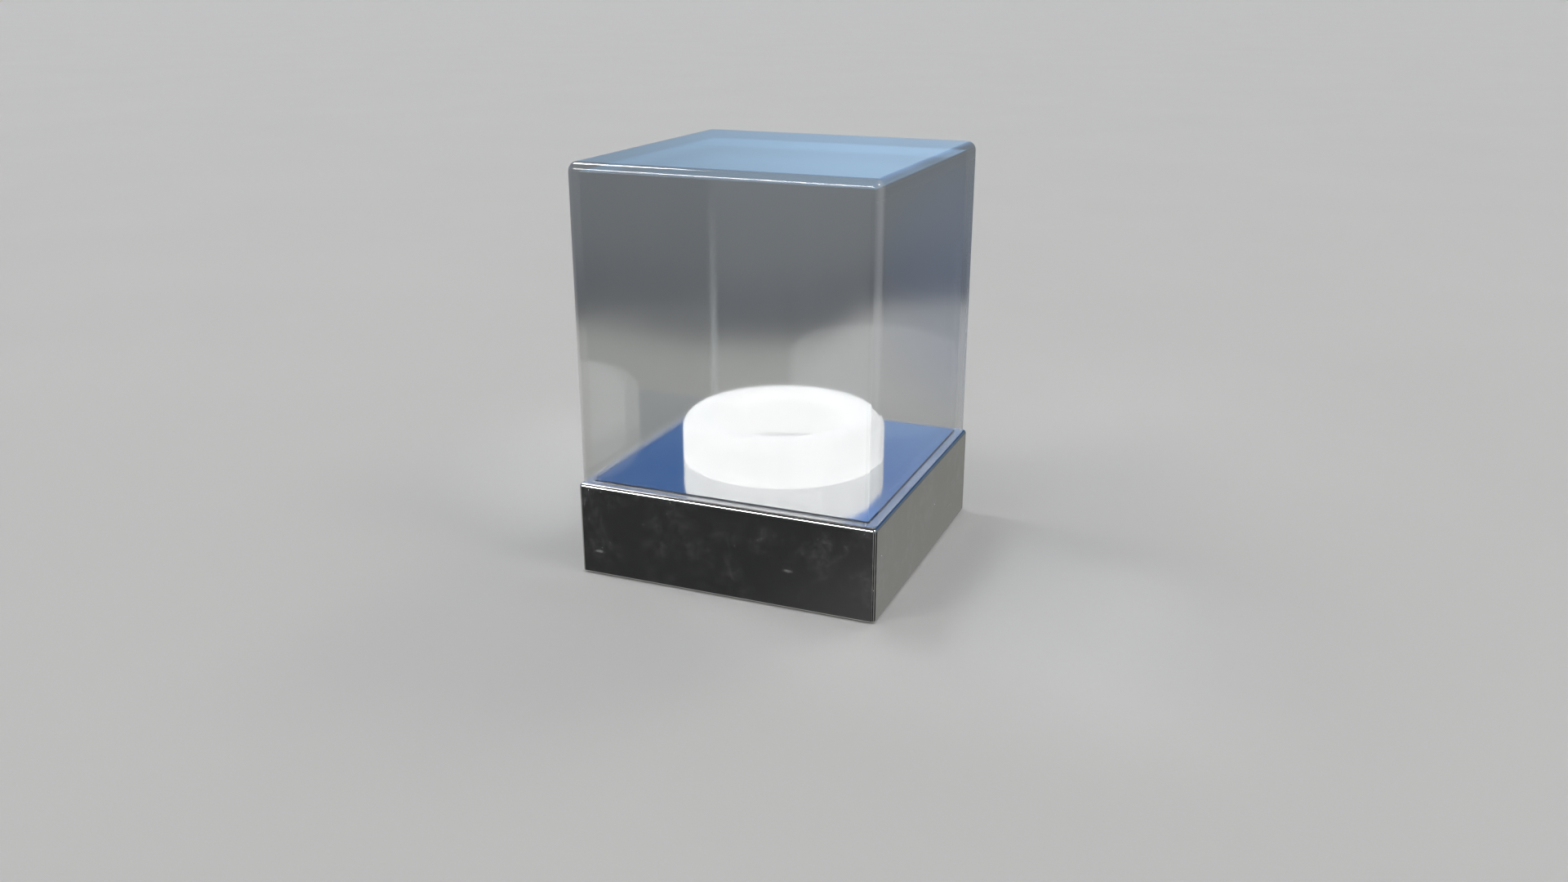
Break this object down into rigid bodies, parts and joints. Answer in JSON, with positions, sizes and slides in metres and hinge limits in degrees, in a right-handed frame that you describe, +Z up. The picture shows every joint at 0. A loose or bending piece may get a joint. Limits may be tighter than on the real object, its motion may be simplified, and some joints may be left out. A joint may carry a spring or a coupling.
{
  "type": "illuminated display cube",
  "caption": "Square display case: a lift-off clear acrylic cover on a polished metal base with an opal ring lamp on its deck, a push switch and a battery door.",
  "frame": {"origin": "on the floor under the middle of the base", "axes": "+Z up, -Y the front, +Y the back with the power switch"},
  "size_m": [0.2, 0.2022, 0.2636],
  "materials": {
    "clear_acrylic": "gloss",
    "polished_steel": "polished",
    "mirror_plate": "polished",
    "opal_acrylic": "satin",
    "bare_aluminium": "satin",
    "white_board": "satin",
    "green_board": "satin",
    "lamp_chip": "satin",
    "zinc_screw": "satin",
    "black_moulding": "matte",
    "white_moulding": "satin",
    "lead_sheath": "satin",
    "black_rubber": "matte",
    "wound_copper": "satin",
    "capacitor_can": "satin",
    "cell_jacket": "satin",
    "spring_strip": "satin",
    "painted_plate": "satin",
    "magnet_plating": "polished"
  },
  "bodies": {
    "base": {"base_shell": "polished_steel", "mirror_deck": "mirror_plate", "ring_diffuser": "opal_acrylic", "ring_carrier": "bare_aluminium", "led_board": "white_board", "led_chips": "lamp_chip", "diffuser_screws": "zinc_screw", "carrier_screws": "zinc_screw", "lead_bush": "black_rubber", "ring_lead": "lead_sheath", "driver_board": "green_board", "driver_inductor": "wound_copper", "driver_capacitors": "capacitor_can", "driver_chip": "black_moulding", "board_sockets": "white_moulding", "lead_plugs": "black_moulding", "board_standoffs": "bare_aluminium", "board_screws": "zinc_screw", "battery_tray": "black_moulding", "battery_cells": "cell_jacket", "battery_contacts": "spring_strip", "tray_screws": "zinc_screw", "battery_lead": "lead_sheath", "bottom_plate": "painted_plate", "plate_screws": "zinc_screw", "corner_posts": "bare_aluminium", "rubber_feet": "black_rubber", "hinge_leaf": "spring_strip", "hinge_pin": "spring_strip", "hinge_screws": "zinc_screw", "catch_magnets": "magnet_plating", "switch_body": "polished_steel", "switch_nut": "zinc_screw", "switch_spring": "spring_strip", "switch_lead": "lead_sheath"},
    "cover": {"cover_front_panel": "clear_acrylic", "cover_back_panel": "clear_acrylic", "cover_left_panel": "clear_acrylic", "cover_right_panel": "clear_acrylic", "cover_top_panel": "clear_acrylic"},
    "door": {"battery_door": "painted_plate"},
    "button": {"power_button": "black_moulding"}
  },
  "joints": [
    {"name": "cover_lift", "type": "slide", "parent": "base", "child": "cover", "axis": [0, 0, 1], "range_m": [0, 0.23]},
    {"name": "battery_door_hinge", "type": "hinge", "parent": "base", "child": "door", "pos_m": [0, -0.002, 0.0028], "axis": [1, 0, 0], "range_deg": [0, 105]},
    {"name": "power_button_press", "type": "slide", "parent": "base", "child": "button", "axis": [0, -1, 0], "range_m": [0, 0.001], "stiffness_N_per_m": 1500, "deforming": ["switch_spring"]}
  ]
}
